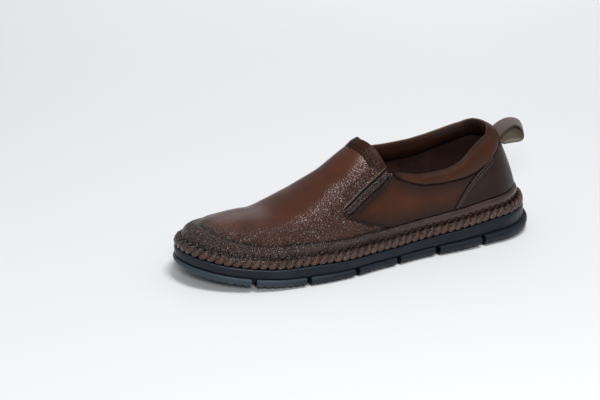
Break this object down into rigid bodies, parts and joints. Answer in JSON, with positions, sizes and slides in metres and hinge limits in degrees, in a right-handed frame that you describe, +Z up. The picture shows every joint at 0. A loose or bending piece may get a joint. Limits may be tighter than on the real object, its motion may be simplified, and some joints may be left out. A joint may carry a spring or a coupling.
{
  "type": "slip-on casual shoe",
  "caption": "Left slip-on shoe: hollow leather upper with elastic gores, padded collar and pull loop on a braided-edge rubber sole.",
  "frame": {"origin": "on the floor, on the sole's heel tread under the middle of the heel", "axes": "+X to the toe, +Y to the shoe's outer side, +Z up"},
  "size_m": [0.3049, 0.1064, 0.0924],
  "materials": {
    "black_rubber": "matte moulded rubber, blue-black",
    "lining_cloth": "dark brown brushed lining",
    "pebbled_leather": "tumbled pebble grain with a soft sheen, mid brown",
    "smooth_leather": "smooth burnished hide, orange-brown with darker edges",
    "dark_leather": "smooth hide, dark brown",
    "cord_leather": "waxed leather cord, dark reddish brown",
    "black_elastic": "ribbed black elastic",
    "taupe_ribbon": "woven grey-taupe ribbon"
  },
  "bodies": {
    "root": {"outsole": "black_rubber", "insole": "lining_cloth", "upper": "pebbled_leather", "foxing_band": "pebbled_leather", "braid": "cord_leather", "heel_counter": "dark_leather", "quarter_lateral": "smooth_leather", "quarter_medial": "smooth_leather", "gore_lateral": "black_elastic", "gore_medial": "black_elastic", "quarter_edge_lateral": "pebbled_leather", "quarter_edge_medial": "pebbled_leather", "throat_facing": "pebbled_leather", "collar": "smooth_leather", "pull_loop": "taupe_ribbon"}
  },
  "joints": []
}
